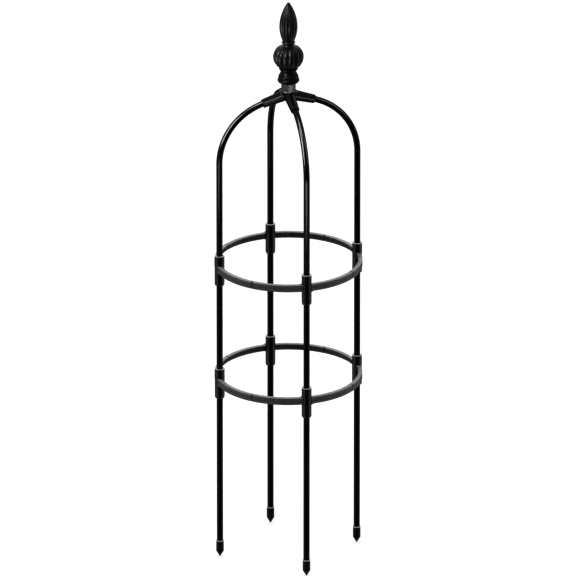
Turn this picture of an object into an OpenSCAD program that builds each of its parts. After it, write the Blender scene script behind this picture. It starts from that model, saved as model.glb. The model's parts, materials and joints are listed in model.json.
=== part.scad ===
// Garden obelisk: a free-standing support for climbing plants. Four plastic-coated steel poles
// bend in at the top and push into a moulded hub, which carries a fluted finial. Two rings hold
// the poles apart. Each ring clips together from four quarter arcs, and each arc has a vertical
// sleeve in which two lengths of pole meet at a stop rib. A pointed tip closes each foot.
//
// +Z is up. The origin is on the ground, at the centre of the four feet. The poles stand on
// the -Y (front), +X (right), +Y (back) and -X (left) axes.

/* [Poles] */
// Radius of the circle that the poles stand on
pole_circle_r = 128; // [124:0.5:140]
// Outer diameter of the coated tube
tube_d = 11; // [10.6:0.1:11.4]
// Thickness of the plastic coat
coat_t = 0.6; // [0.4:0.1:0.8]
// Wall of the steel tube inside the coat
steel_t = 0.5; // [0.4:0.1:0.7]

/* [Rings] */
// Height of the lower ring's middle
lower_ring_z = 342.5; // [250:0.5:400]
// Height of the upper ring above the lower ring
ring_pitch = 218.5; // [150:0.5:240]
// Radius of the ring's centre line
ring_r = 129.5; // [127:0.5:131]
// Radial width of the ring
ring_w = 7.4; // [7:0.1:8.4]
// Height of the ring's outer face
ring_h = 12.8; // [11.6:0.1:14]
// Height of the ring's inner face
ring_inner_h = 9; // [8.6:0.1:9.6]
// Thickness of the skirt that hangs below the outer edge
skirt_t = 2.4; // [1.8:0.1:3]
// Height of the groove in each face
groove_h = 2.4; // [1.6:0.1:2.8]
// Depth of the groove in each face
groove_depth = 0.8; // [0.4:0.1:1]

/* [Ring joints] */
// Angle between the seam and the radius through it
seam_slant = 25; // [0:1:30]
// Gap between two arcs at a seam
seam_gap = 0.3; // [0.1:0.05:0.5]
// Width of the snap tongue
tongue_w = 3.2; // [2.6:0.1:3.4]
// Height of the snap tongue
tongue_h = 5; // [4.4:0.1:5.2]
// Angle that the tongue reaches past the seam
tongue_reach = 5.6; // [4.5:0.1:7]

/* [Sleeves] */
// Outer diameter of a sleeve
sleeve_d = 17.6; // [16:0.1:19]
// Height of the sleeve above the ring's middle
sleeve_up = 24.5; // [18:0.5:32]
// Depth of the sleeve below the ring's middle
sleeve_down = 32.5; // [24:0.5:40]
// Thickness of the stop rib between the two tube ends
stop_t = 2; // [1.5:0.1:3]
// Depth that the stop rib stands in from the bore
stop_in = 1.4; // [1:0.1:1.6]

/* [Arches] */
// Height at which a pole starts to bend in
bend_z = 762; // [740:1:780]
// Radius of the bend, along the tube's centre line
bend_r = 113; // [108:1:116]
// Angle that an arch still rises at where it enters the hub
socket_tilt = 17; // [14:0.5:20]

/* [Hub] */
// Outer diameter of a socket at its mouth
socket_d = 15.8; // [14:0.1:17]
// Outer diameter of a socket's taper, carried back to the centre
socket_root_d = 20.6; // [17:0.1:22]
// Depth of a socket
socket_depth = 27; // [20:0.5:28]
// Diameter of the post under the finial
post_d = 25.8; // [24:0.1:28]
// Height of the post's shoulder above the crossing of the socket axes
post_up = 23; // [20:0.5:28]
// Diameter of the spigot that the finial pushes onto
spigot_d = 20.8; // [18:0.1:21.5]
// Length of the spigot
spigot_l = 14; // [10:0.5:14.5]

/* [Foot tips] */
// Outer diameter of a foot tip
tip_d = 13.5; // [13:0.1:15]
// Height of the cone at the end of a foot tip
tip_cone_h = 10.5; // [8:0.5:14]
// Height of the straight part of a foot tip
tip_body_h = 21; // [18:0.5:26]
// Thickness of the floor above the cone
tip_floor = 2.5; // [2:0.5:4]

/* [Finial] */
// Height of the finial
finial_h = 152.4; // [149:0.1:156]
// Radius of the fluted ball
ball_r = 27.2; // [26:0.1:29]
// Radius of the fluted bud
bud_r = 16.2; // [15:0.1:18]
// Radius of the rounded nose at the top of the bud
nose_r = 2.5; // [1:0.1:4]
// Number of flutes round the ball and the bud
flutes = 14; // [10:2:18]
// Depth of the flutes, as a share of the radius
flute_share = 0.085; // [0.03:0.005:0.1]

/* [Fits] */
// Radial play of a tube in a sleeve, socket or foot tip
push_play = 0.05; // [0.02:0.01:0.1]
// Play of a tongue in its pocket, on each side
snap_play = 0.1; // [0.05:0.05:0.15]

/* [Hidden] */
SIDES = ["front", "right", "back", "left"];
SIDE_ANGLES = [-90, 0, 90, 180];
$fn = 96;

// A thin overlap, so that a cut runs clear of a face
eps = 1;
tube_r = tube_d / 2;
steel_r = tube_r - coat_t;
steel_bore_r = steel_r - steel_t;
bore_r = tube_r + push_play;
upper_ring_z = lower_ring_z + ring_pitch;

// The stop rib lies half-way along the sleeve
stop_z = (sleeve_up - sleeve_down) / 2;

// The bend ends at the mouth of the hub's socket, whose axis goes on in to the centre
bend_angle = 90 - socket_tilt;
socket_mouth_r = pole_circle_r - bend_r * (1 - sin(socket_tilt));
socket_l = socket_mouth_r / cos(socket_tilt);
hub_z = bend_z + bend_r * cos(socket_tilt) + socket_mouth_r * tan(socket_tilt);

// The end inside the socket is thinner than the rest by a hair, and starts a little way back
neck_step = 0.04;
neck_lap = 0.5;

// The finial rests on the post's shoulder
finial_z = hub_z + post_up;
tip_seat_z = tip_cone_h + tip_floor;

// ---------------------------------------------------------------- placing

// Places its children, drawn for the +X pole, at one of the four poles
module at_side(side) {
    rotate([0, 0, SIDE_ANGLES[side]]) children();
}

// ---------------------------------------------------------------- tubes

// Cross-section of a tube
module annulus(r, wall) {
    difference() {
        circle(r);
        circle(r - wall);
    }
}

// Straight length of tube on the +X pole, from z0 to z1
module straight_tube(r, wall, z0, z1) {
    translate([pole_circle_r, 0, z0])
        linear_extrude(z1 - z0)
            annulus(r, wall);
}

// Top length of the +X pole: straight, then bent in, then a neck inside the socket
module arch_tube(r, wall) {
    straight_tube(r, wall, upper_ring_z + stop_z + stop_t / 2, bend_z);
    translate([pole_circle_r - bend_r, 0, bend_z]) {
        rotate([90, 0, 0])
            rotate_extrude(angle = bend_angle)
                translate([bend_r, 0])
                    annulus(r, wall);
        rotate([0, -bend_angle, 0])
            translate([bend_r, 0, -neck_lap])
                linear_extrude(neck_lap + socket_depth)
                    annulus(r - neck_step, wall - 2 * neck_step);
    }
}

// Middle length of the +X pole, between the stop ribs of the two rings
module middle_tube(r, wall) {
    straight_tube(r, wall, lower_ring_z + stop_z + stop_t / 2, upper_ring_z + stop_z - stop_t / 2);
}

// Bottom length of the +X pole, from the foot tip to the lower ring
module leg_tube(r, wall) {
    straight_tube(r, wall, tip_seat_z, lower_ring_z + stop_z - stop_t / 2);
}

module coat(side) {
    color("#1a1a1b") at_side(side) children();
}

module steel(side) {
    color("#9a9c9f") at_side(side) children();
}

// ---------------------------------------------------------------- ring arcs

// Cross-section of the ring: a flat top, a groove in each face and a skirt on the outside.
// x runs outwards from the centre line and y upwards from the middle of the outer face.
module ring_section() {
    out = ring_w / 2;
    top = ring_h / 2;
    inner_bottom = top - ring_inner_h;
    inner_mid = top - ring_inner_h / 2;
    edge = 0.5;
    lip = groove_h / 2;
    flat_lip = lip - groove_depth / 2;
    polygon([
        [out - edge, top],
        [out, top - edge],
        [out, lip],
        [out - groove_depth, flat_lip],
        [out - groove_depth, -flat_lip],
        [out, -lip],
        [out, -top + edge],
        [out - edge, -top],
        [out - skirt_t, -top],
        [out - skirt_t, inner_bottom],
        [-out + edge, inner_bottom],
        [-out, inner_bottom + edge],
        [-out, inner_mid - lip],
        [-out + groove_depth, inner_mid - flat_lip],
        [-out + groove_depth, inner_mid + flat_lip],
        [-out, inner_mid + lip],
        [-out, top - edge],
        [-out + edge, top]]);
}

// Sweeps a section drawn about the ring's centre line from one angle to another
module sweep(from, to) {
    rotate([0, 0, from])
        rotate_extrude(angle = to - from)
            translate([ring_r, 0])
                children();
}

// Half-space beyond the seam at an angle: after it when way is 1, before it when way is -1
module beyond_seam(angle, way) {
    block = 40;
    rotate([0, 0, angle])
        translate([ring_r, 0, 0])
            rotate([0, 0, seam_slant])
                translate([-block / 2, way * (block - seam_gap) / 2 - block / 2, -block / 2])
                    cube(block);
}

tongue_mid_z = ring_h / 2 - ring_inner_h / 2;

// Rectangle of the tongue, or of its pocket when play is added
module tongue_section(play) {
    translate([0, tongue_mid_z])
        square([tongue_w + 2 * play, tongue_h + 2 * play], center = true);
}

// Nib on the inner side of the tongue, or its window when play is added
module nib(angle, reach, play) {
    nib_l = 2.6;
    nib_h = 2.4;
    rotate([0, 0, angle + tongue_reach * 0.65])
        translate([ring_r - tongue_w / 2 - reach, -nib_l / 2 - play, tongue_mid_z - nib_h / 2 - play])
            cube([reach + tongue_w / 2, nib_l + 2 * play, nib_h + 2 * play]);
}

// Outside of a sleeve, with a fine edge on top and a tapered lead below
module sleeve_body() {
    r = sleeve_d / 2;
    edge = 0.4;
    taper_h = 3;
    taper_in = 0.9;
    rotate_extrude()
        polygon([
            [0, -sleeve_down],
            [r - taper_in - edge, -sleeve_down],
            [r - taper_in, -sleeve_down + edge],
            [r, -sleeve_down + taper_h],
            [r, sleeve_up - edge],
            [r - edge, sleeve_up],
            [0, sleeve_up]]);
}

// Bore of a sleeve from the stop rib to each mouth, and the narrower bore through the rib
module sleeve_bore() {
    translate([0, 0, stop_z + stop_t / 2])
        cylinder(h = sleeve_up - stop_z, r = bore_r);
    translate([0, 0, -sleeve_down - eps])
        cylinder(h = stop_z - stop_t / 2 + sleeve_down + eps, r = bore_r);
    translate([0, 0, stop_z - stop_t])
        cylinder(h = 2 * stop_t, r = bore_r - stop_in);
}

// Quarter arc for the +X pole, with its middle at z
module ring_arc(z) {
    over = 3;
    pocket_reach = tongue_reach + 0.3;
    wall_through = ring_w / 2 - tongue_w / 2 + eps;
    nib_reach = ring_w / 2 - tongue_w / 2 - groove_depth + 0.2;
    translate([0, 0, z])
        difference() {
            union() {
                difference() {
                    sweep(-45 - over, 45 + over) ring_section();
                    beyond_seam(45, 1);
                    beyond_seam(-45, -1);
                    sweep(-45 - over - eps, -45 + pocket_reach) tongue_section(snap_play);
                    nib(-45, wall_through, snap_play);
                }
                sweep(45 - over, 45 + tongue_reach) tongue_section(0);
                nib(45, nib_reach, 0);
                translate([pole_circle_r, 0, 0]) sleeve_body();
            }
            translate([pole_circle_r, 0, 0]) sleeve_bore();
        }
}

module ring_part(side, z) {
    color("#4a4b4c") at_side(side) ring_arc(z);
}

// ---------------------------------------------------------------- hub

// Draws its children along the axis of the +X socket, with z as the distance from the centre
module along_socket() {
    translate([0, 0, hub_z])
        rotate([0, 90 + socket_tilt, 0])
            children();
}

// Round web that blends the foot of the post into the sockets
module post_flare() {
    flare = 4;
    foot_z = hub_z + 2;
    rotate_extrude()
        difference() {
            translate([0, foot_z])
                square([post_d / 2 + flare, 2 * flare]);
            translate([post_d / 2 + flare, foot_z + 2 * flare])
                circle(flare);
            translate([post_d / 2 + flare / 4, foot_z + 2 * flare])
                square([2 * flare, 2 * flare], center = true);
        }
}

module hub() {
    edge = 0.5;
    core_r = 14;
    cavity_d = 14;
    cavity_floor = 5;
    color("#6a6765")
        difference() {
            union() {
                translate([0, 0, hub_z]) sphere(core_r);
                translate([0, 0, hub_z]) cylinder(h = post_up, d = post_d);
                translate([0, 0, hub_z]) cylinder(h = post_up + spigot_l, d = spigot_d);
                post_flare();
                for (side = [0:3])
                    at_side(side) along_socket()
                        rotate_extrude()
                            polygon([
                                [0, 0],
                                [socket_root_d / 2, 0],
                                [socket_d / 2, socket_l - edge],
                                [socket_d / 2 - edge, socket_l],
                                [0, socket_l]]);
            }
            for (side = [0:3])
                at_side(side) along_socket()
                    translate([0, 0, socket_l - socket_depth])
                        cylinder(h = socket_depth + eps, r = bore_r);
            translate([0, 0, hub_z + cavity_floor])
                cylinder(h = post_up + spigot_l, d = cavity_d);
        }
}

// ---------------------------------------------------------------- foot tip

module foot_tip(side) {
    point_r = 0.6;
    edge = 0.4;
    r = tip_d / 2;
    top = tip_cone_h + tip_body_h;
    color("#232425") at_side(side)
        translate([pole_circle_r, 0, 0])
            difference() {
                rotate_extrude()
                    polygon([
                        [0, 0],
                        [point_r, 0],
                        [r - edge, tip_cone_h - edge],
                        [r, tip_cone_h + edge],
                        [r, top - edge],
                        [r - edge, top],
                        [0, top]]);
                translate([0, 0, tip_seat_z])
                    cylinder(h = tip_body_h, r = bore_r);
            }
}

// ---------------------------------------------------------------- finial

// The finial's outline is a list of rows. Each row is [height, radius, flute share].

// Round bead: an arc about a point, from one angle to another
function bead(z, r, size, from, to, steps) = [
    for (i = [0:steps])
        let (a = from + (to - from) * i / steps)
            [z + size * sin(a), r + size * cos(a), 0]];

// Signed power, which squares off an ellipse
function soft(x, power) = sign(x) * pow(abs(x), power);

ball_z = 48.6;
ball_half_h = 22.5;
ball_power = 0.87;

// Fluted ball, between its lower bead and the neck
function ball_rows(steps) = [
    for (i = [0:steps])
        let (a = -60 + 130 * i / steps)
            [ball_z + ball_half_h * soft(sin(a), ball_power),
             ball_r * pow(cos(a), ball_power),
             flute_share * sqrt(cos(a))]];

bud_z = 78.6;
bud_wide_z = 105.8;

// Lower part of the bud, which swells from the collar to the widest place
function bud_low_rows(steps) = [
    for (i = [0:steps - 1])
        let (t = i / steps, dz = (1 - t) * (bud_wide_z - bud_z))
            [bud_wide_z - dz, bud_r * (1 - pow(dz / 44, 2)), flute_share * sin(90 * t)]];

// Height where the bud's sides would meet, if the nose were not rounded
bud_apex_z = finial_h + 0.68 * nose_r;
// Angle on the nose's arc where the bud's sides join it
nose_start = 35;
// Share of the way from the widest place to the apex at which they join
nose_share = (finial_h - nose_r * (1 - sin(nose_start)) - bud_wide_z) / (bud_apex_z - bud_wide_z);

// Upper part of the bud, which closes towards its nose
function bud_high_rows(steps) = [
    for (i = [0:steps - 1])
        let (t = sin(asin(nose_share) * i / steps))
            [bud_wide_z + t * (bud_apex_z - bud_wide_z),
             bud_r * pow(1 - t * t, 0.92),
             flute_share * pow(1 - t, 0.3)]];

FINIAL_ROWS = concat(
    bead(4.4, 15.3, 4.3, -75, 50, 5),
    bead(11.2, 14.4, 3.6, -40, 55, 4),
    [[17.6, 15, 0], [21, 13.2, 0], [22.8, 13.3, 0]],
    bead(26.2, 14.2, 2.6, -65, 40, 4),
    ball_rows(16),
    [[71, 9.5, 0], [72.6, 9, 0], [74.4, 10.2, 0], [75.6, 12, 0], [76.8, 12.1, 0], [77.6, 10.6, 0]],
    bud_low_rows(7),
    bud_high_rows(9),
    bead(finial_h - nose_r, 0, nose_r, nose_start, 75, 2));

// Depth of the lobed outline at an angle: 0 on a lobe's crest and 1 in the valley beside it
function valley(angle) = 1 - abs(sin(flutes * angle / 2));

// Solid skin through the rows, closed at the bottom and drawn to a point at the top
module lofted(rows, apex_z, steps) {
    n = len(rows);
    points = concat(
        [for (row = rows, k = [0:steps - 1])
            let (a = 360 * k / steps, r = row[1] * (1 - row[2] * valley(a)))
                [r * cos(a), r * sin(a), row[0]]],
        [[0, 0, rows[0][0]], [0, 0, apex_z]]);
    floor_point = n * steps;
    apex_point = floor_point + 1;
    last = (n - 1) * steps;
    side_faces = [
        for (i = [0:n - 2], k = [0:steps - 1], half = [0, 1])
            let (a = i * steps + k, b = i * steps + (k + 1) % steps)
                half == 0 ? [a, a + steps, b + steps] : [a, b + steps, b]];
    floor_faces = [for (k = [0:steps - 1]) [floor_point, k, (k + 1) % steps]];
    apex_faces = [for (k = [0:steps - 1]) [apex_point, last + (k + 1) % steps, last + k]];
    polyhedron(points, concat(side_faces, floor_faces, apex_faces));
}

module finial() {
    base_drop = FINIAL_ROWS[0][0];
    color("#2b2c29")
        translate([0, 0, finial_z - base_drop])
            difference() {
                lofted(FINIAL_ROWS, finial_h, 4 * flutes);
                translate([0, 0, base_drop - eps])
                    cylinder(h = spigot_l + 0.5 + eps, d = spigot_d + 2 * push_play);
            }
}

// ---------------------------------------------------------------- nodes

finial();
hub();

for (side = [0:3]) {
    name = SIDES[side];
    coat(side) arch_tube(tube_r, coat_t);
    steel(side) arch_tube(steel_r, steel_t);
    ring_part(side, upper_ring_z);
    coat(side) middle_tube(tube_r, coat_t);
    steel(side) middle_tube(steel_r, steel_t);
    ring_part(side, lower_ring_z);
    coat(side) leg_tube(tube_r, coat_t);
    steel(side) leg_tube(steel_r, steel_t);
    foot_tip(side);
}
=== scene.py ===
"""Garden obelisk: finished surfaces, materials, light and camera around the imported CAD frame.

Lengths are in metres, or in millimetres times MM. Places come from the CAD nodes' boxes. What
stands on a pole is drawn for the +X ("right") pole and turned to the other three sides.
"""

import json
import math

import bmesh
import bpy
from mathutils import Matrix, Vector

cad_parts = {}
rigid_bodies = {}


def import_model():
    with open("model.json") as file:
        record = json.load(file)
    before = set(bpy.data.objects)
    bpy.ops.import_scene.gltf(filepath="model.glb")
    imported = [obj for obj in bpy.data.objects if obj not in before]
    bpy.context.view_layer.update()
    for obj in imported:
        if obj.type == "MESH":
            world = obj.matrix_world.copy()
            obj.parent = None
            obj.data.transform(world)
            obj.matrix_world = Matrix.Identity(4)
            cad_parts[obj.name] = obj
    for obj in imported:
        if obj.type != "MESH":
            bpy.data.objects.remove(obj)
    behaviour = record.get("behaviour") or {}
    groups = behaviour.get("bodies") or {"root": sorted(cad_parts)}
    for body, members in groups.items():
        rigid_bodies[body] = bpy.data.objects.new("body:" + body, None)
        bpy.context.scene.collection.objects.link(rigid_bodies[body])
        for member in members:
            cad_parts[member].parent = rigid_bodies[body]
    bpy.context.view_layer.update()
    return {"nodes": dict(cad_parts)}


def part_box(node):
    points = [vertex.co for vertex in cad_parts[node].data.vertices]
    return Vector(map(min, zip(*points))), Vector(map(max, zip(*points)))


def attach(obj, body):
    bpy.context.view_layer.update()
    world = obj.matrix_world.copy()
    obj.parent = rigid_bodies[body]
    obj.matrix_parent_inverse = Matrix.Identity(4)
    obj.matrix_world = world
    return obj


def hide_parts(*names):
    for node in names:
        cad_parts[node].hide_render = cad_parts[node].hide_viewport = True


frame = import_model()

MM = 0.001
SIDES = {"front": -90, "right": 0, "back": 90, "left": 180}

# ---------------------------------------------------------------- sizes, from the frame or as in the CAD

coat_low, coat_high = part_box("middle_coat_right")
steel_low, steel_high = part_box("middle_steel_right")
arch_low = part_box("arch_coat_right")[0]
leg_low, leg_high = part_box("leg_coat_right")
tip_low, tip_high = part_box("foot_tip_right")
ring_low, ring_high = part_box("upper_ring_right")
lower_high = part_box("lower_ring_right")[1]
hub_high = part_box("hub")[1]
finial_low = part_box("finial")[0]

# Poles: the circle that they stand on, the coated tube and its bend
POLE_R = (coat_low.x + coat_high.x) / 2
TUBE_R = (coat_high.x - coat_low.x) / 2
COAT_T = TUBE_R - (steel_high.x - steel_low.x) / 2
PUSH_PLAY = 0.05 * MM
BORE_R = TUBE_R + PUSH_PLAY
BEND_R = 113 * MM
BEND_Z = 762 * MM

# Sleeves, measured up and down from their ring's middle, with a stop rib half-way
SLEEVE_R = ring_high.x - POLE_R
SLEEVE_UP = 24.5 * MM
UPPER_Z = ring_high.z - SLEEVE_UP
LOWER_Z = lower_high.z - SLEEVE_UP
SLEEVE_DOWN = UPPER_Z - ring_low.z
STOP_Z = (SLEEVE_UP - SLEEVE_DOWN) / 2
STOP_T = 2 * MM
STOP_IN = 1.4 * MM

# A ring's section, and the slanted seams between its quarters, 45 degrees from each pole
RING_R = 129.5 * MM
RING_W = 7.4 * MM
RING_H = 12.8 * MM
RING_INNER_H = 9.0 * MM
SKIRT_T = 2.4 * MM
GROOVE_H = 2.4 * MM
GROOVE_DEPTH = 0.8 * MM
SEAM = 45
SEAM_SLANT = math.radians(25)
SEAM_GAP = 0.3 * MM

# The snap at a seam: a tongue with a nib on its inner side, in a pocket with a window
TONGUE_W = 3.2 * MM
TONGUE_H = 5 * MM
TONGUE_MID = RING_H / 2 - RING_INNER_H / 2
NIB_W = 2.6 * MM
NIB_H = 2.4 * MM
SNAP_PLAY = 0.1 * MM

# The same snap along the ring, in degrees from the seam
TONGUE_REACH = 5.6
TONGUE_ROOT = 2
NIB_TURN = 0.65 * TONGUE_REACH
POCKET_ROOT = 7
POCKET_SPARE = 0.3

TIP_R = (tip_high.x - tip_low.x) / 2
TIP_CONE_H = 10.5 * MM

# Hub: post and spigot, and the sockets, which taper from the centre to their mouths
POST_R = 12.9 * MM
SPIGOT_R = 10.4 * MM
SOCKET_TILT = math.radians(17)
SOCKET_DEPTH = 27 * MM
SOCKET_R = 7.9 * MM
SOCKET_ROOT_R = 10.3 * MM
MOUTH_R = POLE_R - BEND_R * (1 - math.sin(SOCKET_TILT))
HUB_Z = BEND_Z + BEND_R * math.cos(SOCKET_TILT) + MOUTH_R * math.tan(SOCKET_TILT)
SOCKET_L = MOUTH_R / math.cos(SOCKET_TILT)
WELL_R = 7 * MM
WELL_Z = HUB_Z + 5 * MM

# Finial: flutes round the ball and the bud, and their depth as a share of the radius
FLUTES = 14
FLUTE_SHARE = 0.085
POINTS_PER_FLUTE = 14

# ---------------------------------------------------------------- mesh helpers

# Points closer than this are one point, in drawn pieces and in cut ones
DRAWN_MERGE = 1e-7
CUT_MERGE = 2e-6


def rounded(corners, steps):
    """Closed outline through corners (x, y, radius), each corner turned into an arc."""
    outline = []
    for i, (x, y, radius) in enumerate(corners):
        corner = Vector((x, y))
        if radius <= 0:
            outline.append((x, y))
            continue
        before = (Vector(corners[i - 1][:2]) - corner).normalized()
        after = (Vector(corners[(i + 1) % len(corners)][:2]) - corner).normalized()
        half = before.angle(after) / 2
        centre = corner + (before + after).normalized() * radius / math.sin(half)
        start = corner + before * radius / math.tan(half) - centre
        end = corner + after * radius / math.tan(half) - centre
        first = math.atan2(start.y, start.x)
        turn = math.atan2(end.y, end.x) - first
        turn = (turn + math.pi) % (2 * math.pi) - math.pi
        for s in range(steps + 1):
            a = first + turn * s / steps
            outline.append((centre.x + radius * math.cos(a), centre.y + radius * math.sin(a)))
    return outline


def skin(name, rings, closed=False, caps=False):
    """Object whose skin runs through rings of points. Each ring is a closed loop."""
    count = len(rings[0])
    points = [p for ring in rings for p in ring]
    faces = []
    for i in range(len(rings) if closed else len(rings) - 1):
        here, there = i * count, (i + 1) % len(rings) * count
        for k in range(count):
            n = (k + 1) % count
            faces.append((here + k, here + n, there + n, there + k))
    if caps:
        faces.append(tuple(reversed(range(count))))
        faces.append(tuple(range(len(points) - count, len(points))))
    mesh = bpy.data.meshes.new(name)
    mesh.from_pydata(points, [], faces)
    obj = bpy.data.objects.new(name, mesh)
    bpy.context.scene.collection.objects.link(obj)
    clean(obj)
    return obj


def clean(obj, merge=DRAWN_MERGE):
    """Joins doubled points, drops faces of no area and turns every face outwards."""
    bm = bmesh.new()
    bm.from_mesh(obj.data)
    bmesh.ops.remove_doubles(bm, verts=bm.verts, dist=merge)
    bmesh.ops.dissolve_degenerate(bm, edges=bm.edges, dist=merge)
    bmesh.ops.recalc_face_normals(bm, faces=bm.faces)
    bm.to_mesh(obj.data)
    bm.free()


def lathe(name, outline, sides):
    """Solid turned about the Z axis from a closed outline of (radius, height)."""
    rings = []
    for s in range(sides):
        a = 2 * math.pi * s / sides
        rings.append([(r * math.cos(a), r * math.sin(a), z) for r, z in outline])
    return skin(name, rings, closed=True)


def smooth(obj, angle):
    """Smooth shading, with edges sharper than the angle kept crisp."""
    obj.data.shade_smooth()
    obj.data.set_sharp_from_angle(angle=math.radians(angle))
    return obj


def cut_or_join(obj, other, operation):
    """Boolean of obj with other, applied; other is deleted."""
    modifier = obj.modifiers.new("boolean", "BOOLEAN")
    modifier.object = other
    modifier.operation = operation
    modifier.solver = "EXACT"
    apply_modifiers(obj)
    bpy.data.objects.remove(other)
    clean(obj, CUT_MERGE)


def apply_modifiers(obj):
    """Replaces the object's mesh with the result of its modifiers."""
    depsgraph = bpy.context.evaluated_depsgraph_get()
    mesh = bpy.data.meshes.new_from_object(obj.evaluated_get(depsgraph))
    obj.modifiers.clear()
    obj.data = mesh


def box_solid(name, low, high):
    """Plain box between two corners."""
    xs, ys, zs = zip(low, high)
    corners = [(ys[0], zs[0]), (ys[1], zs[0]), (ys[1], zs[1]), (ys[0], zs[1])]
    return skin(name, [[(x, y, z) for y, z in corners] for x in xs], caps=True)


def on_pole(obj):
    """Moves a shape drawn about the Z axis on to the +X pole."""
    obj.data.transform(Matrix.Translation((POLE_R, 0, 0)))
    return obj


def on_all_sides(template, name, node, material, height=0.0):
    """Copies a piece drawn for the +X pole to all four sides, in place of the CAD nodes."""
    for side, degrees in SIDES.items():
        mesh = template.data.copy()
        mesh.transform(Matrix.Translation((0, 0, height)))
        mesh.transform(Matrix.Rotation(math.radians(degrees), 4, "Z"))
        piece = bpy.data.objects.new(f"{name}_{side}", mesh)
        bpy.context.scene.collection.objects.link(piece)
        finish_piece(piece, material, f"{node}_{side}")
    bpy.data.objects.remove(template)


def finish_piece(piece, material, node):
    """Gives a piece its material and puts it in place of a CAD node."""
    piece.data.materials.clear()
    piece.data.materials.append(material)
    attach(piece, "root")
    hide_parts(node)


# ---------------------------------------------------------------- materials

# Most of a noise texture's values lie between these two
NOISE_LOW = 0.35
NOISE_HIGH = 0.65


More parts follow.
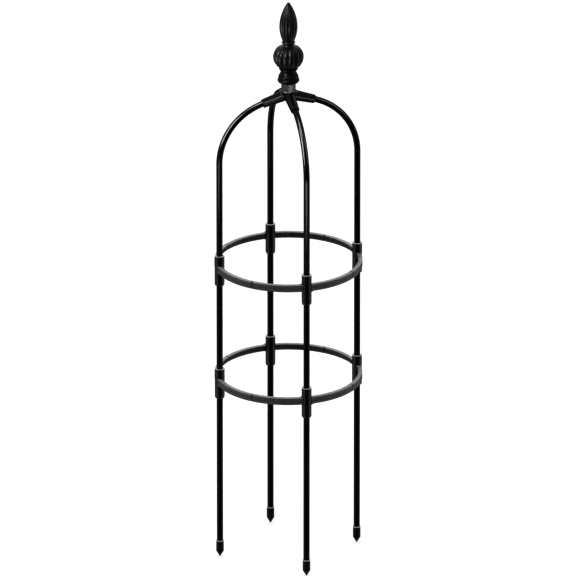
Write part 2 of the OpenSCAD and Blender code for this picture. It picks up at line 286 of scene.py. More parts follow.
class Shader:
    """A material under construction, with short calls for the nodes that repeat."""

    def __init__(self, name):
        self.material = bpy.data.materials.new(name)
        self.material.use_nodes = True
        self.nodes = self.material.node_tree.nodes
        self.links = self.material.node_tree.links
        self.surface = self.nodes["Principled BSDF"]
        self.place = self.nodes.new("ShaderNodeTexCoord").outputs["Object"]

    def stretched(self, upwards):
        """Object coordinates with the height scaled, so that a noise draws out along the pole."""
        mapping = self.nodes.new("ShaderNodeMapping")
        mapping.inputs["Scale"].default_value = (1, 1, upwards)
        self.links.new(self.place, mapping.inputs["Vector"])
        return mapping.outputs["Vector"]

    def height(self):
        """Height above the ground."""
        return self.vector("DOT_PRODUCT", self.place, (0, 0, 1), output="Value")

    def level(self, place):
        """A place with its height taken away."""
        return self.vector("MULTIPLY", place, (1, 1, 0))

    def from_axis(self):
        """Distance from the obelisk's upright axis."""
        return self.vector("LENGTH", self.level(self.place), output="Value")

    def noise(self, scale, detail, roughness=0.5, place=None):
        node = self.nodes.new("ShaderNodeTexNoise")
        node.inputs["Scale"].default_value = scale
        node.inputs["Detail"].default_value = detail
        node.inputs["Roughness"].default_value = roughness
        self.links.new(place or self.place, node.inputs["Vector"])
        return node.outputs["Fac"]

    def ranged(self, value, low, high, start=NOISE_LOW, end=NOISE_HIGH):
        """Maps a value between start and end, which suit a noise, on to low and high."""
        node = self.nodes.new("ShaderNodeMapRange")
        node.inputs["From Min"].default_value = start
        node.inputs["From Max"].default_value = end
        node.inputs["To Min"].default_value = low
        node.inputs["To Max"].default_value = high
        self.links.new(value, node.inputs["Value"])
        return node.outputs["Result"]

    def colours(self, value, dark, light):
        """Blends two colours by a noise."""
        node = self.nodes.new("ShaderNodeValToRGB")
        node.color_ramp.elements[0].position = NOISE_LOW
        node.color_ramp.elements[0].color = (*dark, 1)
        node.color_ramp.elements[1].position = NOISE_HIGH
        node.color_ramp.elements[1].color = (*light, 1)
        self.links.new(value, node.inputs["Fac"])
        return node.outputs["Color"]

    def vector(self, operation, *values, output="Vector"):
        node = self.nodes.new("ShaderNodeVectorMath")
        node.operation = operation
        return self.fill(node, values, output)

    def maths(self, operation, *values):
        node = self.nodes.new("ShaderNodeMath")
        node.operation = operation
        return self.fill(node, values, "Value")

    def fill(self, node, values, output):
        """Sets a node's inputs in order, each from a socket or to a fixed value."""
        for socket, value in zip(node.inputs, values):
            if isinstance(value, bpy.types.NodeSocket):
                self.links.new(value, socket)
            else:
                socket.default_value = value
        return node.outputs[output]

    def mixed(self, share, first, second):
        """Blends two colours by a share from 0 to 1."""
        node = self.nodes.new("ShaderNodeMix")
        node.data_type = "RGBA"
        colours = [socket for socket in node.inputs if socket.type == "RGBA"]
        self.links.new(share, node.inputs["Factor"])
        self.links.new(first, colours[0])
        self.links.new(second, colours[1])
        return [socket for socket in node.outputs if socket.type == "RGBA"][0]

    def rim_highlight(self, colour, z, reach, dark, light):
        """Paints a highlight on a rim that lies at height z, broken up unevenly by a noise."""
        away = self.maths("ABSOLUTE", self.maths("SUBTRACT", self.height(), z))
        rim = self.ranged(away, 1, 0, reach * 0.7, reach * 1.3)
        highlight_tone = self.colours(self.noise(300, detail=3), grey(dark), grey(light))
        return self.mixed(rim, colour, highlight_tone)

    def seam_grime_and_shade_share(self):
        """Share of dirt and painted shade in the seams: 1 along each slanted line midway between two
        poles, else 0.
        """
        parts = self.nodes.new("ShaderNodeSeparateXYZ")
        self.links.new(self.place, parts.inputs[0])
        bearing = self.maths("ARCTAN2", parts.outputs["Y"], parts.outputs["X"])
        slant = math.tan(SEAM_SLANT) / RING_R
        lean = self.maths("MULTIPLY", self.maths("SUBTRACT", self.from_axis(), RING_R), slant)
        turned = self.maths("SUBTRACT", bearing, lean)
        past = self.maths("WRAP", turned, math.pi / 2, 0)
        away = self.maths("ABSOLUTE", self.maths("SUBTRACT", past, math.pi / 4))
        core, edge = 0.6 * MM, 1.3 * MM
        return self.ranged(away, 1, 0, core / RING_R, edge / RING_R)

    def flow(self):
        """Broad streaks that plastic keeps from its way into the mould."""
        return self.noise(38, detail=5, roughness=0.6)

    def patches(self):
        """Duller and shinier patches."""
        return self.noise(120, detail=4)

    def grain(self, fine, waves=0.0, scale=1500):
        """Fine grain over shallow waves, given by their strengths."""
        under = self.bump(self.noise(90, detail=2), waves, 0.3 * MM) if waves else None
        return self.bump(self.noise(scale, detail=2, roughness=0.65), fine, 0.06 * MM, under)

    def bump(self, height, strength, distance, under=None):
        node = self.nodes.new("ShaderNodeBump")
        node.inputs["Strength"].default_value = strength
        node.inputs["Distance"].default_value = distance
        self.links.new(height, node.inputs["Height"])
        if under:
            self.links.new(under, node.inputs["Normal"])
        return node.outputs["Normal"]

    def finish(self, **values):
        """Gives the shader its values, each a pattern or, when it is the same all over, a constant."""
        for name, value in values.items():
            socket = self.surface.inputs[name.replace("_", " ")]
            if isinstance(value, bpy.types.NodeSocket):
                self.links.new(value, socket)
            else:
                socket.default_value = value
        return self.material


def grey(value):
    return value, value, value


def pole_coat():
    """Black plastic coat, drawn lengthwise, with faint handling marks."""
    s = Shader("pole_coat")
    mottle = s.noise(45, detail=4)
    smear = s.noise(260, detail=5, roughness=0.6, place=s.stretched(0.18))
    draw_lines = s.noise(1400, detail=2, place=s.stretched(0.02))
    peel = s.noise(420, detail=2)
    return s.finish(
        Base_Color=s.colours(mottle, (0.0022, 0.0022, 0.0024), (0.0045, 0.0045, 0.0048)),
        Roughness=s.ranged(smear, 0.14, 0.22),
        Normal=s.bump(peel, 0.04, 0.06 * MM, s.bump(draw_lines, 0.04, 0.03 * MM)),
        Specular_IOR_Level=0.13)


def ring_plastic():
    """Moulded plastic: grey and grained on the band, black and shinier on the sleeves, with painted
    shade on the band's inner face, painted highlights on the top edges and dirt with painted shade in
    the seams.
    """
    s = Shader("ring_plastic")
    quarter = s.level(s.vector("ABSOLUTE", s.place))
    from_poles = [
        s.vector("DISTANCE", quarter, pole, output="Value")
        for pole in ((POLE_R, 0, 0), (0, POLE_R, 0))]
    band = s.ranged(s.maths("MINIMUM", *from_poles), 0, 1, SLEEVE_R, SLEEVE_R + 2 * MM)
    # Painted light and shade: the band's outer face is coloured lighter and its inner face darker, as
    # lit and shaded sides.
    outside = s.ranged(s.from_axis(), 0, 1, RING_R - 1 * MM, RING_R + 2 * MM)
    flow = s.flow()
    band_colour = s.mixed(
        outside,
        s.colours(flow, (0.04, 0.0404, 0.0412), (0.054, 0.0545, 0.0555)),
        s.colours(flow, (0.086, 0.0866, 0.0878), (0.112, 0.1126, 0.114)))
    # Painted highlight along the top edge of each ring's band, where the light from above falls.
    for ring_z in (UPPER_Z, LOWER_Z):
        band_colour = s.rim_highlight(band_colour, ring_z + RING_H / 2, 0.7 * MM, 0.25, 0.34)
    sleeve_colour = s.colours(flow, (0.004, 0.004, 0.0042), (0.007, 0.007, 0.0073))
    colour = s.mixed(band, sleeve_colour, band_colour)
    # Painted highlight on the top lip of each sleeve.
    for ring_z in (UPPER_Z, LOWER_Z):
        colour = s.rim_highlight(colour, ring_z + SLEEVE_UP, 0.8 * MM, 0.38, 0.56)
    # Near black in the seams: partly dirt in the joints, partly painted shade of the groove between the
    # quarters.
    joint_grime_and_shade = s.colours(flow, grey(0.001), grey(0.002))
    return s.finish(
        Base_Color=s.mixed(s.seam_grime_and_shade_share(), colour, joint_grime_and_shade),
        Roughness=s.maths("ADD", s.ranged(s.patches(), 0.26, 0.33), s.maths("MULTIPLY", band, 0.1)),
        Normal=s.grain(0.12, waves=0.08),
        Specular_IOR_Level=s.maths("ADD", 0.5, s.maths("MULTIPLY", band, -0.3)))


def tip_plastic():
    """Moulded plastic of the pointed feet, black and smooth, with a painted highlight on its rim."""
    s = Shader("tip_plastic")
    # The rim's lighter tone is a painted highlight.
    return s.finish(
        Base_Color=s.rim_highlight(
            s.colours(s.flow(), grey(0.011), grey(0.017)), tip_high.z, 1.5 * MM, 0.4, 0.6),
        Roughness=s.ranged(s.patches(), 0.28, 0.36),
        Normal=s.grain(0.1),
        Specular_IOR_Level=0.12)


def hub_plastic():
    """Moulded plastic: black and shinier on the sockets, grey and duller on the post."""
    s = Shader("hub_plastic")
    post = s.maths(
        "MULTIPLY",
        s.ranged(s.from_axis(), 1, 0, POST_R + 0.5 * MM, POST_R + 3 * MM),
        s.ranged(s.height(), 0, 1, HUB_Z + 4 * MM, HUB_Z + 9 * MM))
    flow = s.flow()
    return s.finish(
        Base_Color=s.mixed(
            post,
            s.colours(flow, (0.004, 0.004, 0.0039), (0.007, 0.007, 0.0068)),
            s.colours(flow, (0.042, 0.0411, 0.0403), (0.058, 0.0569, 0.0557))),
        Roughness=s.maths("ADD", s.ranged(s.patches(), 0.27, 0.34), s.maths("MULTIPLY", post, 0.18)),
        Normal=s.grain(0.08, waves=0.03),
        Specular_IOR_Level=s.maths("ADD", 0.14, s.maths("MULTIPLY", post, 0.36)))


def finial_plastic():
    """Olive black moulded plastic, which reflects less on the stepped base than on the flutes."""
    s = Shader("finial_plastic")
    fluted = s.ranged(s.height(), 0, 1, finial_low.z + 27 * MM, finial_low.z + 30 * MM)
    return s.finish(
        Base_Color=s.colours(s.flow(), (0.009, 0.0096, 0.007), (0.014, 0.015, 0.011)),
        Roughness=s.ranged(s.patches(), 0.31, 0.38),
        Normal=s.grain(0.08, waves=0.04, scale=1100),
        Specular_IOR_Level=s.maths("ADD", 0.1, s.maths("MULTIPLY", fluted, 0.15)))


def rolled_steel():
    """Bare thin steel tube with drawing lines along it."""
    s = Shader("rolled_steel")
    lines = s.noise(900, detail=3, place=s.stretched(0.01))
    stain = s.noise(60, detail=4)
    return s.finish(
        Base_Color=s.colours(stain, (0.36, 0.36, 0.37), (0.52, 0.52, 0.53)),
        Roughness=s.ranged(lines, 0.25, 0.45),
        Normal=s.bump(lines, 0.2, 0.03 * MM),
        Metallic=1.0)


COAT = pole_coat()
RING = ring_plastic()
HUB = hub_plastic()
TIP = tip_plastic()
FINIAL = finial_plastic()
STEEL = rolled_steel()

# ---------------------------------------------------------------- poles

TUBE_SIDES = 56
END_GAP = 0.15 * MM
END_LOOP_IN = 0.15 * MM


def tube(path):
    """Hollow tube along a path of (centre, outwards) pairs that lie in the XZ plane.

    Each flat end has one more loop of points, a little way in from its outer edge.
    """
    def loops(radius):
        rings = []
        for centre, outwards in path:
            ring = []
            for k in range(TUBE_SIDES):
                a = 2 * math.pi * k / TUBE_SIDES
                offset = outwards * math.cos(a) + Vector((0, 1, 0)) * math.sin(a)
                ring.append(centre + offset * radius)
            rings.append(ring)
        return rings

    outside, inside = loops(TUBE_R), loops(TUBE_R - COAT_T)
    end_loops = loops(TUBE_R - END_LOOP_IN)
    rings = [end_loops[0], *outside, end_loops[-1], *reversed(inside)]
    return smooth(skin("pole", rings, closed=True), 30)


def straight_path(z0, z1):
    """Path up the +X pole that stops a hair short of both heights."""
    heights = [z0 + END_GAP, (z0 + z1) / 2, z1 - END_GAP]
    return [(Vector((POLE_R, 0, z)), Vector((1, 0, 0))) for z in heights]


def arch_path():
    """Path up the top length of the +X pole, round its bend and into the hub's socket."""
    centre = Vector((POLE_R - BEND_R, 0, BEND_Z))
    path = [(Vector((POLE_R, 0, arch_low.z)), Vector((1, 0, 0)))]
    bend = math.pi / 2 - SOCKET_TILT
    steps = 48
    for s in range(steps + 1):
        a = bend * s / steps
        outwards = Vector((math.cos(a), 0, math.sin(a)))
        path.append((centre + outwards * BEND_R, outwards))
    along = Vector((-math.sin(bend), 0, math.cos(bend)))
    path.append((path[-1][0] + along * SOCKET_DEPTH, outwards))
    return path


def build_poles():
    on_all_sides(tube(arch_path()), "top_pole", "arch_coat", COAT)
    on_all_sides(tube(straight_path(coat_low.z, coat_high.z)), "middle_pole", "middle_coat", COAT)
    on_all_sides(tube(straight_path(leg_low.z, leg_high.z)), "bottom_pole", "leg_coat", COAT)


# ---------------------------------------------------------------- rings


def ring_outline():
    """Cross-section of a ring as (outwards, up) from its centre line."""
    out, top = RING_W / 2, RING_H / 2
    bottom = top - RING_INNER_H
    lip, depth = GROOVE_H / 2, GROOVE_DEPTH
    edge = 0.55 * MM
    soft = 0.25 * MM
    return rounded([
        (out, top, edge),
        (out, lip, soft),
        (out - depth, lip - depth / 2, soft),
        (out - depth, -lip + depth / 2, soft),
        (out, -lip, soft),
        (out, -top, edge),
        (out - SKIRT_T, -top, edge),
        (out - SKIRT_T, bottom, edge),
        (-out, bottom, edge),
        (-out, TONGUE_MID - lip, soft),
        (-out + depth, TONGUE_MID - lip + depth / 2, soft),
        (-out + depth, TONGUE_MID + lip - depth / 2, soft),
        (-out, TONGUE_MID + lip, soft),
        (-out, top, edge)], steps=3)


def grown(outline, amount):
    """Ring outline made larger all round by an amount."""
    return [(u * (1 + amount / (RING_W / 2)), z * (1 + amount / (RING_H / 2))) for u, z in outline]


def swept_arc():
    """Quarter of the ring, with slanted, bevelled ends and a low fillet where it meets the sleeve."""
    outline = ring_outline()
    fillet = 2.6 * MM
    fillet_share = 0.45
    fillet_lap = 0.4 * MM
    bevel = 0.4 * MM
    steps = 90
    rings = []
    for s in range(-1, steps + 2):
        share = min(max(s, 0), steps) / steps
        distance = abs(RING_R * (share - 0.5) * math.pi / 2) - SLEEVE_R + fillet_lap
        swell = 0.0
        if distance < fillet:
            reach = fillet - max(distance, 0.0)
            swell = (fillet - math.sqrt(fillet ** 2 - reach ** 2)) * fillet_share
        if s in (-1, steps + 1):
            swell = -bevel
        ring = []
        for u, z in grown(outline, swell):
            slant = u * math.tan(SEAM_SLANT)
            first = -math.radians(SEAM) + (slant + SEAM_GAP / 2) / RING_R
            last = math.radians(SEAM) + (slant - SEAM_GAP / 2) / RING_R
            a = first + (last - first) * share
            if s == 0:
                a += bevel / RING_R
            if s == steps:
                a -= bevel / RING_R
            radius = RING_R + u
            ring.append((radius * math.cos(a), radius * math.sin(a), z))
        rings.append(ring)
    return skin("ring_arc", rings, caps=True)


def tongue(name, start, end, play):
    """Snap tongue between two angles, or its pocket when play is added."""
    half_w, half_h = TONGUE_W / 2 + play, TONGUE_H / 2 + play
    corners = ((half_w, half_h), (-half_w, half_h), (-half_w, -half_h), (half_w, -half_h))
    steps = 8
    rings = []
    for s in range(steps + 1):
        a = math.radians(start + (end - start) * s / steps)
        rings.append([
            ((RING_R + u) * math.cos(a), (RING_R + u) * math.sin(a), z + TONGUE_MID)
            for u, z in corners])
    return skin(name, rings, caps=True)


def nib(name, seam, reach, play):
    """Snap nib on the tongue's inner side, or its window when play is added."""
    half_w, half_h = NIB_W / 2 + play, NIB_H / 2 + play
    low = (RING_R - TONGUE_W / 2 - reach, -half_w, TONGUE_MID - half_h)
    high = (RING_R, half_w, TONGUE_MID + half_h)
    obj = box_solid(name, low, high)
    obj.data.transform(Matrix.Rotation(math.radians(seam + NIB_TURN), 4, "Z"))
    return obj


def sleeve():
    """Outside of a sleeve on the +X pole, as a solid with a short taper at its foot."""
    taper_h, taper_in = 3 * MM, 0.9 * MM
    outline = rounded([
        (0, SLEEVE_UP, 0),
        (SLEEVE_R, SLEEVE_UP, 0.7 * MM),
        (SLEEVE_R, taper_h - SLEEVE_DOWN, 2 * MM),
        (SLEEVE_R - taper_in, -SLEEVE_DOWN, 0.5 * MM),
        (0, -SLEEVE_DOWN, 0)], steps=5)
    return on_pole(lathe("sleeve", outline, sides=72))


def sleeve_bore():
    """Cutter for a sleeve's two bores and the narrower way through the stop rib."""
    top, bottom = SLEEVE_UP, -SLEEVE_DOWN
    rib_top, rib_bottom = STOP_Z + STOP_T / 2, STOP_Z - STOP_T / 2
    past_end = 1 * MM
    lead = 0.35 * MM
    outline = [
        (0, top + past_end),
        (BORE_R + lead, top + past_end),
        (BORE_R + lead, top),
        (BORE_R, top - lead),
        (BORE_R, rib_top),
        (BORE_R - STOP_IN, rib_top),
        (BORE_R - STOP_IN, rib_bottom),
        (BORE_R, rib_bottom),
        (BORE_R, bottom + lead),
        (BORE_R + lead, bottom),
        (BORE_R + lead, bottom - past_end),
        (0, bottom - past_end)]
    return on_pole(lathe("sleeve_bore", outline, sides=56))


def build_rings():
    to_inner_face = RING_W / 2 - TONGUE_W / 2
    window_reach = to_inner_face + 1 * MM
    nib_reach = to_inner_face - GROOVE_DEPTH + 0.2 * MM
    pocket_end = TONGUE_REACH + POCKET_SPARE
    arc = swept_arc()
    cut_or_join(arc, tongue("pocket", -SEAM - POCKET_ROOT, -SEAM + pocket_end, SNAP_PLAY), "DIFFERENCE")
    cut_or_join(arc, nib("window", -SEAM, window_reach, SNAP_PLAY), "DIFFERENCE")
    cut_or_join(arc, tongue("tongue", SEAM - TONGUE_ROOT, SEAM + TONGUE_REACH, 0), "UNION")
    cut_or_join(arc, nib("nib", SEAM, nib_reach, 0), "UNION")
    cut_or_join(arc, sleeve(), "UNION")
    cut_or_join(arc, sleeve_bore(), "DIFFERENCE")
    smooth(arc, 32)
    lower = arc.copy()
    lower.data = arc.data.copy()
    bpy.context.scene.collection.objects.link(lower)
    on_all_sides(arc, "upper_ring_arc", "upper_ring", RING, UPPER_Z)
    on_all_sides(lower, "lower_ring_arc", "lower_ring", RING, LOWER_Z)


# ---------------------------------------------------------------- foot tips


def build_tips():
    seat, top = leg_low.z, tip_high.z
    outline = rounded([
        (0, 0, 0),
        (0.6 * MM, 0, 0.25 * MM),
        (TIP_R, TIP_CONE_H, 0.8 * MM),
        (TIP_R, top, 0.7 * MM),
        (BORE_R, top, 0.15 * MM),
        (BORE_R, seat, 0),
        (0, seat, 0)], steps=4)
    tip = on_pole(smooth(lathe("tip", outline, sides=56), 35))
    on_all_sides(tip, "pointed_foot", "foot_tip", TIP)


# ---------------------------------------------------------------- hub


def along_socket(obj, degrees):
    """Turns a shape drawn up the Z axis on to the axis of one of the hub's sockets."""
    obj.data.transform(
        Matrix.Translation((0, 0, HUB_Z))
        @ Matrix.Rotation(math.radians(degrees), 4, "Z")
        @ Matrix.Rotation(math.pi / 2 + SOCKET_TILT, 4, "Y"))
    return obj


def hub_core():
    """Spigot, post and the round body that the four sockets grow from."""
    top, shoulder = hub_high.z, finial_low.z
    flare = 4 * MM
    flare_foot = HUB_Z + 5 * MM
    core_r = 13.6 * MM
    top_edge, shoulder_edge = 0.5 * MM, 0.4 * MM
    outline = [
        (0, top),
        (SPIGOT_R - top_edge, top),
        (SPIGOT_R, top - top_edge),
        (SPIGOT_R, shoulder),
        (POST_R - shoulder_edge, shoulder),
        (POST_R, shoulder - shoulder_edge)]
    steps = 8
    for s in range(steps + 1):
        a = math.pi / 2 * s / steps
        outline.append((POST_R + flare * (1 - math.cos(a)), flare_foot + flare * (1 - math.sin(a))))
    steps = 12
    for s in range(steps + 1):
        a = math.pi / 2 * s / steps
        outline.append((core_r * math.cos(a), HUB_Z - core_r * math.sin(a)))
    return lathe("moulded_hub", outline, sides=96)


def blend(obj):
    """Remeshes an object evenly and smooths it, which fillets its inner corners."""
    voxels = obj.modifiers.new("blend", "REMESH")
    voxels.mode = "VOXEL"
    voxels.voxel_size = 0.5 * MM
    voxels.use_smooth_shade = True
    even = obj.modifiers.new("even", "SMOOTH")
    even.factor = 0.5
    even.iterations = 7
    apply_modifiers(obj)


def hole(name, r, start, end, sides):
    """Cutter for a round hole up the Z axis, which runs past its mouth."""
    past_end = 2 * MM
    return lathe(name, [(0, start), (r, start), (r, end + past_end), (0, end + past_end)], sides)


def build_hub():
    hub = hub_core()
    arm_outline = rounded([
        (0, 0, 0),
        (SOCKET_ROOT_R, 0, 0),
        (SOCKET_R, SOCKET_L, 0.7 * MM),
        (0, SOCKET_L, 0)], steps=4)
    for degrees in SIDES.values():
        cut_or_join(hub, along_socket(lathe("arm", arm_outline, sides=72), degrees), "UNION")
    blend(hub)
    for degrees in SIDES.values():
        bore = hole("bore", BORE_R, SOCKET_L - SOCKET_DEPTH, SOCKET_L, sides=56)
        cut_or_join(hub, along_socket(bore, degrees), "DIFFERENCE")
    cut_or_join(hub, hole("well", WELL_R, WELL_Z, hub_high.z, sides=48), "DIFFERENCE")
    finish_piece(smooth(hub, 40), HUB, "hub")


# ---------------------------------------------------------------- finial

# Up to the last step, the finial's outline is in millimetres


def bead(z, r, size, start, end, steps):
    """Rows of (height, radius, flute share) round part of a circle that is centred on (z, r)."""
    rows = []
    for i in range(steps + 1):
        a = math.radians(start + (end - start) * i / steps)
        rows.append((z + size * math.sin(a), r + size * math.cos(a), 0.0))
    return rows


def plain(*points):
    """Rows without flutes through points of (height, radius)."""
    return [(z, r, 0.0) for z, r in points]


def soft_power(x, power):
    """Power of a number's size that keeps its sign."""
    return math.copysign(abs(x) ** power, x)


def ball_rows():
    """The fluted ball, a little fuller than a true ellipsoid."""
    middle_z, half_h, ball_r, fullness = 48.6, 22.5, 27.2, 0.87
    start, end, steps = -60, 70, 60
    rows = []
    for i in range(steps + 1):
        a = math.radians(start + (end - start) * i / steps)
        rows.append((
            middle_z + half_h * soft_power(math.sin(a), fullness),
            ball_r * math.cos(a) ** fullness,
            FLUTE_SHARE * math.sqrt(math.cos(a))))
    return rows


def bud_rows():
    """The fluted bud, which widens to wide_z, closes in above it and ends in a round nose.

    Its lower part is a parabola that would meet the axis taper_h below wide_z. Its upper part would
    meet the axis at apex_z, but gives way to the nose where their slopes are nearly the same.
    """
    foot_z, wide_z, bud_r = 78.6, 105.8, 16.2
    top_z, nose_r, nose_start, nose_end = 152.4, 2.5, 35, 83
    taper_h = 44
    fullness = 0.92
    flute_fade = 0.3
    apex_z = top_z + 0.68 * nose_r
    nose_z = top_z - nose_r
    nose_share = (nose_z + nose_r * math.sin(math.radians(nose_start)) - wide_z) / (apex_z - wide_z)
    rows = []
    steps = 26
    for i in range(steps):
        t = i / steps
        below = (1 - t) * (wide_z - foot_z)
        rows.append((
            wide_z - below,
            bud_r * (1 - (below / taper_h) ** 2),
            FLUTE_SHARE * math.sin(math.pi / 2 * t)))
    steps = 46
    for i in range(steps):
        t = math.sin(math.asin(nose_share) * i / steps)
        rows.append((
            wide_z + t * (apex_z - wide_z),
            bud_r * (1 - t * t) ** fullness,
            FLUTE_SHARE * (1 - t) ** flute_fade))
    rows += bead(z=nose_z, r=0.0, size=nose_r, start=nose_start, end=nose_end, steps=7)
    return rows + plain((top_z, 0.0))


def finial_rows():
    """The finial's outline from its foot to the top of its nose."""
    foot = bead(z=4.4, r=15.3, size=4.3, start=-75, end=50, steps=14)
    roll = bead(z=11.2, r=14.4, size=3.6, start=-40, end=55, steps=12)
    neck = plain((17.6, 15.0), (19.5, 13.9), (21.0, 13.2), (22.0, 13.0), (22.8, 13.3))
    collar = bead(z=26.2, r=14.2, size=2.6, start=-65, end=40, steps=10)
    waist = plain((70.4, 10.1), (71.2, 9.4), (72.2, 9.0), (73.2, 9.1), (74.2, 9.8), (75.0, 11.0))
    cuff = plain((75.6, 11.9), (76.1, 12.25), (76.7, 12.15), (77.2, 11.5), (77.7, 10.7))
    return foot + roll + neck + collar + ball_rows() + waist + cuff + bud_rows()


def build_finial():
    outline = finial_rows()
    drop = outline[0][0]
    socket_depth = 14.5
    socket_top = drop + socket_depth
    socket_r = (SPIGOT_R + PUSH_PLAY) / MM
    outline = plain((socket_top, 0.0), (socket_top, socket_r), (drop, socket_r)) + outline
    sides = POINTS_PER_FLUTE * FLUTES
    rings = []
    for z, r, share in outline:
        ring = []
        for k in range(sides):
            a = 2 * math.pi * k / sides
            lobe = abs(math.sin(FLUTES * a / 2))
            radius = r * (1 - share * (1 - lobe)) * MM
            ring.append((radius * math.cos(a), radius * math.sin(a), finial_low.z + (z - drop) * MM))
        rings.append(ring)
    piece = smooth(skin("fluted_finial", rings), 60)
    finish_piece(piece, FINIAL, "finial")


build_poles()
build_rings()
build_tips()
build_hub()
build_finial()

for node_name, node in frame["nodes"].items():
    if "_steel_" in node_name:
        node.data.materials.clear()
        node.data.materials.append(STEEL)

# ---------------------------------------------------------------- studio

FLOOR_HALF = 40
FLOOR_GLOW = 0.59

# Brightness of the studio's white above and below the horizon, and what is added to it behind
STUDIO_HIGH = 1.15
STUDIO_LOW = 1.4
STUDIO_BACK = 0.75

# The studio's dark side is turned this far from the camera's bearing
DARK_TURN = 9

# The camera's bearing from the front and its height, in degrees, and what it aims at
VIEW_AZIMUTH = -14.75
VIEW_ELEVATION = 22.0
AIM_HEIGHT = 0.5094
AIM_ASIDE = -0.8 * MM
PICTURE_WIDTH = 576 * 1.8 * MM
LENS = 1000.0
SENSOR = 36.0

# The pieces that a light falls on, by the start of their names
TOP_POLES = ("top_pole",)
FRONT_POLE = ("top_pole_front",)
FAR_POLES = ("top_pole_left", "top_pole_back")
HUB_PIECE = ("moulded_hub",)
FINIAL_PIECE = ("fluted_finial",)


def build_floor():
    """Pale paper that glows enough to hide the shadows at the feet."""
    corners = [(x * FLOOR_HALF, y * FLOOR_HALF, 0) for x, y in ((-1, -1), (1, -1), (1, 1), (-1, 1))]
    mesh = bpy.data.meshes.new("floor")
    mesh.from_pydata(corners, [], [(0, 1, 2, 3)])
    floor = bpy.data.objects.new("floor", mesh)
    bpy.context.scene.collection.objects.link(floor)
    s = Shader("floor_paper")
    grain = s.noise(90, detail=4)
    mesh.materials.append(s.finish(
        Base_Color=s.colours(grain, grey(0.4), grey(0.41)),
        Roughness=0.9,
        Normal=s.bump(grain, 0.02, 1 * MM),
        Emission_Color=(1, 1, 1, 1),
        Emission_Strength=FLOOR_GLOW))
    floor.visible_glossy = False


def camera_side(turn, elevation=0.0):
    """Unit vector from the object, turned anticlockwise, seen from above, from the camera's bearing."""
    azimuth, height = math.radians(VIEW_AZIMUTH + turn), math.radians(elevation)
    outwards = math.cos(height)
    return Vector((math.sin(azimuth) * outwards, -math.cos(azimuth) * outwards, math.sin(height)))


def build_world():
    """White studio, dark towards the photographer and, below the horizon, right behind the object."""
    world = bpy.data.worlds.new("studio")
    bpy.context.scene.world = world
    world.use_nodes = True
    nodes, links = world.node_tree.nodes, world.node_tree.links

    def add(kind, **settings):
        node = nodes.new(kind)
        for key, value in settings.items():
            setattr(node, key, value)
        return node

    def ramped(value, start, end, low, high):
        node = add("ShaderNodeMapRange", interpolation_type="SMOOTHSTEP")
        for socket, number in zip(node.inputs[1:5], (start, end, low, high)):
            socket.default_value = number
        links.new(value, node.inputs["Value"])
        return node.outputs["Result"]

    def product(*values):
        result = values[0]
        for value in values[1:]:
            node = add("ShaderNodeMath", operation="MULTIPLY")
            links.new(result, node.inputs[0])
            links.new(value, node.inputs[1])
            result = node.outputs[0]
        return result

    def cosine(degrees):
        return math.cos(math.radians(degrees))

    place = add("ShaderNodeTexCoord").outputs["Generated"]
    level = add("ShaderNodeVectorMath", operation="MULTIPLY")
    level.inputs[1].default_value = (1, 1, 0)
    unit = add("ShaderNodeVectorMath", operation="NORMALIZE")
    front = add("ShaderNodeVectorMath", operation="DOT_PRODUCT")
    front.inputs[1].default_value = camera_side(DARK_TURN)
    links.new(place, level.inputs[0])
    links.new(level.outputs[0], unit.inputs[0])
    links.new(unit.outputs[0], front.inputs[0])
    facing = front.outputs["Value"]
    parts = add("ShaderNodeSeparateXYZ")
    links.new(place, parts.inputs[0])
    height = parts.outputs["Z"]

    beside = ramped(facing, cosine(54), cosine(36), 1, 0)
    not_behind = ramped(facing, cosine(145), cosine(115), 0, 1)
    below = product(beside, not_behind, ramped(height, -0.1, 0.08, STUDIO_LOW, 0))
    dark_front = product(ramped(facing, cosine(62), cosine(36), 0, 1), ramped(height, 0.4, 0.75, 1, 0))
    above = product(ramped(dark_front, 0, 1, 1, 0), ramped(height, -0.1, 0.08, 0, STUDIO_HIGH))
    back = product(
        ramped(facing, cosine(110), cosine(150), 0, STUDIO_BACK),
        ramped(height, -0.02, 0.1, 0, 1),
        ramped(height, 0.6, 0.9, 1, 0))
    light = below
    for more in (above, back):
        total = add("ShaderNodeMath", operation="ADD")
        links.new(light, total.inputs[0])
        links.new(more, total.inputs[1])
        light = total.outputs[0]
    path = add("ShaderNodeLightPath")
    seen = add("ShaderNodeMix", data_type="FLOAT")
    links.new(path.outputs["Is Camera Ray"], seen.inputs["Factor"])
    links.new(light, seen.inputs["A"])
    seen.inputs["B"].default_value = 1.0
    background = nodes["Background"]
    background.inputs["Color"].default_value = (1, 1, 1, 1)
    links.new(seen.outputs["Result"], background.inputs["Strength"])


def area_light(name, place, target, size, brightness, pieces):
    """Rectangle of light, seen only in reflections on the named pieces. Brightness is its radiance."""
    light = bpy.data.lights.new(name, "AREA")
    light.shape = "RECTANGLE"
    light.size, light.size_y = size
    light.energy = brightness * math.pi * size[0] * size[1]
    obj = bpy.data.objects.new(name, light)
    obj.location = place
    obj.rotation_euler = (Vector(target) - Vector(place)).to_track_quat("-Z", "Y").to_euler()
    obj.visible_camera = False
    obj.visible_diffuse = False
    bpy.context.scene.collection.objects.link(obj)
    lit = bpy.data.collections.new(f"{name}_pieces")
    for piece in bpy.context.scene.objects:
        if piece.name.startswith(pieces):
            lit.objects.link(piece)
    obj.light_linking.receiver_collection = lit


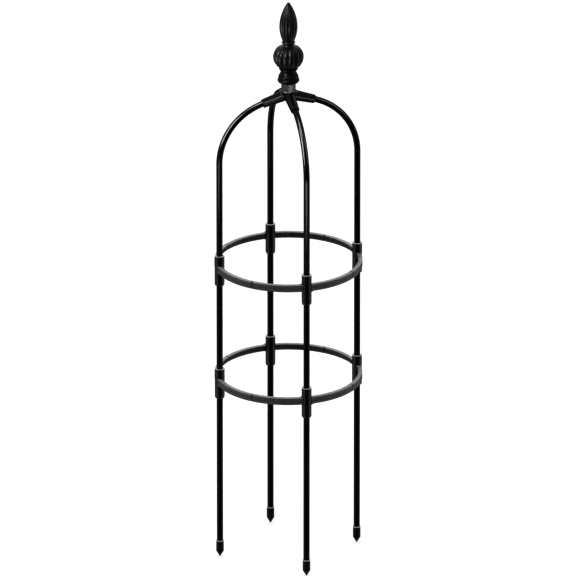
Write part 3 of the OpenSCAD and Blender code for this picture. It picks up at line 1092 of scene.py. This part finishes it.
def build_lights():
    """Reflectors, each for the pieces it is meant for. The even light comes from the white studio."""
    top = Vector((0, 0, 0.85))
    far = 1.6
    for name, turn, elevation, size, brightness, pieces in (
            ("finial_softbox", -45, 30, (0.4, 0.6), 54.0, FINIAL_PIECE),
            ("finial_crown", -40, 60, (0.7, 0.5), 14.0, FINIAL_PIECE),
            ("arch_wall", -55, 22, (1.3, 1.3), 52.0, TOP_POLES),
            ("crown_wall", -40, 68, (1.2, 0.8), 44.0, TOP_POLES),
            ("right_wall", 72, 25, (1.0, 1.2), 13.0, TOP_POLES),
            ("hub_wall", -52, 38, (1.1, 0.9), 34.0, HUB_PIECE),
            ("hub_front", 12, 27, (0.9, 0.5), 38.0, HUB_PIECE)):
        area_light(name, top + camera_side(turn, elevation) * far, top, size, brightness, pieces)
    for name, turn, distance, height, size, brightness, pieces in (
            ("front_panel", -5, 0.8, 0.47, (0.8, 0.12), 27.0, FRONT_POLE),
            ("side_panel", -26, 0.8, 0.46, (0.6, 0.12), 19.0, FAR_POLES),
            ("bud_panel", -60, 0.8, 0.69, (0.5, 0.14), 26.0, FINIAL_PIECE),
            ("post_panel", 34, 0.5, 0.70, (0.6, 0.16), 18.0, HUB_PIECE)):
        middle = Vector((0, 0, height))
        area_light(name, middle + camera_side(turn) * distance, middle, size, brightness, pieces)


def build_camera():
    """Long lens, so that the poles stay parallel as in the photograph."""
    camera = bpy.data.cameras.new("camera")
    camera.lens = LENS
    camera.sensor_width = SENSOR
    camera.clip_end = 500
    distance = LENS * PICTURE_WIDTH / SENSOR
    towards = camera_side(0, VIEW_ELEVATION)
    obj = bpy.data.objects.new("camera", camera)
    obj.location = camera_side(90) * AIM_ASIDE + Vector((0, 0, AIM_HEIGHT)) + towards * distance
    obj.rotation_euler = (-towards).to_track_quat("-Z", "Y").to_euler()
    bpy.context.scene.collection.objects.link(obj)
    bpy.context.scene.camera = obj


build_floor()
build_world()
build_lights()
build_camera()
bpy.context.scene.view_settings.view_transform = "Standard"
bpy.context.scene.view_settings.gamma = 0.65
